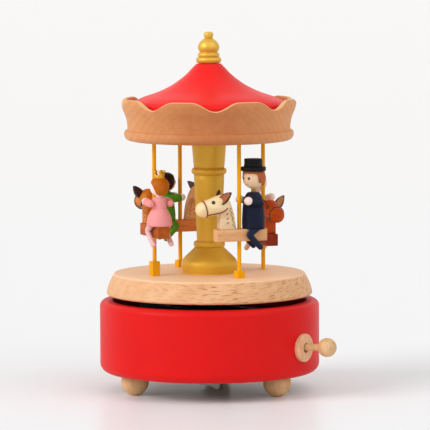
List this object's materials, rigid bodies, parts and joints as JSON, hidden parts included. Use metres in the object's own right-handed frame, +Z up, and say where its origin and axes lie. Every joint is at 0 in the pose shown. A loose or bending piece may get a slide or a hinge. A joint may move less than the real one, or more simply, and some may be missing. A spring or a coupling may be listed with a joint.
{
  "type": "carousel music box",
  "caption": "Wind-up wooden carousel music box: a red drum on ball feet holds the movement, and dolls on horses rise and fall on poles between a turning platform and a scalloped canopy.",
  "frame": {"origin": "on the turning axis, at the level of the surface that the ball feet stand on", "axes": "+Z up along the turning axis, -Y to the front, +X to the right as the picture shows it"},
  "size_m": [0.1175, 0.11, 0.1801],
  "materials": {
    "red_lacquer": "satin red lacquer on turned wood",
    "beech": "clear matt varnish",
    "dark_beech": "oiled",
    "red_brown_wood": "stained",
    "fibreboard": "raw",
    "gold_paint": "satin gold paint on turned wood",
    "yellow_paint": "satin golden yellow paint",
    "cream_paint": "matt paint",
    "brown_paint": "matt stain",
    "navy_paint": "matt paint",
    "pink_paint": "matt paint",
    "pale_pink_paint": "matt paint",
    "green_paint": "matt paint",
    "black_paint": "satin paint",
    "skin_paint": "matt paint",
    "dark_plastic": "moulded",
    "brass": "machined",
    "steel": "ground",
    "nickel": "nickel plated",
    "cast_metal": "die cast"
  },
  "bodies": {
    "base": {"base_drum": "red_lacquer", "bottom_plate": "fibreboard", "plate_screws": "steel", "right_ball_foot": "beech", "rear_ball_foot": "beech", "left_ball_foot": "beech", "lever_escutcheon": "beech", "lever_bush": "brass", "lever_pin": "steel", "cam_plate": "dark_plastic", "cam_track": "dark_plastic", "movement_bedplate": "cast_metal", "movement_screws": "steel", "comb": "steel", "comb_screws": "steel", "governor_frame": "brass"},
    "turntable": {"platform": "beech", "column": "gold_paint", "canopy": "dark_beech", "roof": "red_lacquer", "finial": "gold_paint", "drive_shaft": "steel", "hub_screws": "steel", "spring_barrel": "brass", "mainspring": "steel"},
    "cylinder": {"pin_cylinder": "brass", "cylinder_arbor": "steel"},
    "governor": {"governor_wheel": "brass"},
    "fan": {"governor_fan": "steel"},
    "key": {"winding_arbor": "steel", "winding_key": "nickel"},
    "lever": {"lever_stem": "beech", "lever_knob": "beech"},
    "front_rider": {"front_pole": "yellow_paint", "front_bench": "beech", "front_horse": "cream_paint", "front_rider_body": "navy_paint", "front_rider_head": "skin_paint", "front_rider_limbs": "navy_paint", "front_rider_hat": "black_paint"},
    "left_rider": {"left_pole": "yellow_paint", "left_bench": "red_brown_wood", "left_horse": "brown_paint", "left_rider_body": "pink_paint", "left_rider_head": "skin_paint", "left_rider_limbs": "pink_paint", "left_rider_crown": "gold_paint"},
    "right_rider": {"right_pole": "yellow_paint", "right_bench": "red_brown_wood", "right_horse": "red_brown_wood", "right_rider_body": "pale_pink_paint", "right_rider_head": "skin_paint", "right_rider_limbs": "pale_pink_paint", "right_rider_crown": "gold_paint"},
    "rear_rider": {"rear_pole": "yellow_paint", "rear_bench": "red_brown_wood", "rear_horse": "brown_paint", "rear_rider_body": "green_paint", "rear_rider_head": "skin_paint", "rear_rider_limbs": "green_paint"}
  },
  "joints": [
    {"name": "turntable_turn", "type": "hinge", "parent": "base", "child": "turntable", "pos_m": [0, 0, 0.0487], "axis": [0, 0, 1], "continuous": true},
    {"name": "cylinder_turn", "type": "hinge", "parent": "base", "child": "cylinder", "pos_m": [0.01515, -0.0177, 0.02835], "axis": [0.6501, -0.7599, 0], "continuous": true},
    {"name": "governor_turn", "type": "hinge", "parent": "base", "child": "governor", "pos_m": [0.02715, -0.02415, 0.02205], "axis": [0.6501, -0.7599, 0], "continuous": true},
    {"name": "fan_turn", "type": "hinge", "parent": "base", "child": "fan", "pos_m": [0.03146, -0.02043, 0.026], "axis": [0, 0, 1], "continuous": true},
    {"name": "key_turn", "type": "hinge", "parent": "base", "child": "key", "pos_m": [0, 0, 0.01], "axis": [0, 0, 1], "continuous": true},
    {"name": "lever_swing", "type": "hinge", "parent": "base", "child": "lever", "pos_m": [0.04151, -0.02696, 0.025], "axis": [0.5446, 0.8387, 0], "range_deg": [0, 6]},
    {"name": "left_slide", "type": "slide", "parent": "turntable", "child": "left_rider", "axis": [0, 0, 1], "range_m": [-0.0072, 0]},
    {"name": "right_slide", "type": "slide", "parent": "turntable", "child": "right_rider", "axis": [0, 0, 1], "range_m": [0, 0.0072]},
    {"name": "front_slide", "type": "slide", "parent": "turntable", "child": "front_rider", "axis": [0, 0, 1], "range_m": [-0.0036, 0.0036]},
    {"name": "rear_slide", "type": "slide", "parent": "turntable", "child": "rear_rider", "axis": [0, 0, 1], "range_m": [-0.0036, 0.0036]}
  ],
  "couplings": [
    {"joint": "cylinder_turn", "follows": "turntable_turn", "ratio": 3},
    {"joint": "governor_turn", "follows": "turntable_turn", "ratio": -9},
    {"joint": "fan_turn", "follows": "turntable_turn", "ratio": 144},
    {"joint": "right_slide", "follows": "left_slide", "ratio": -1},
    {"joint": "rear_slide", "follows": "front_slide", "ratio": -1}
  ]
}
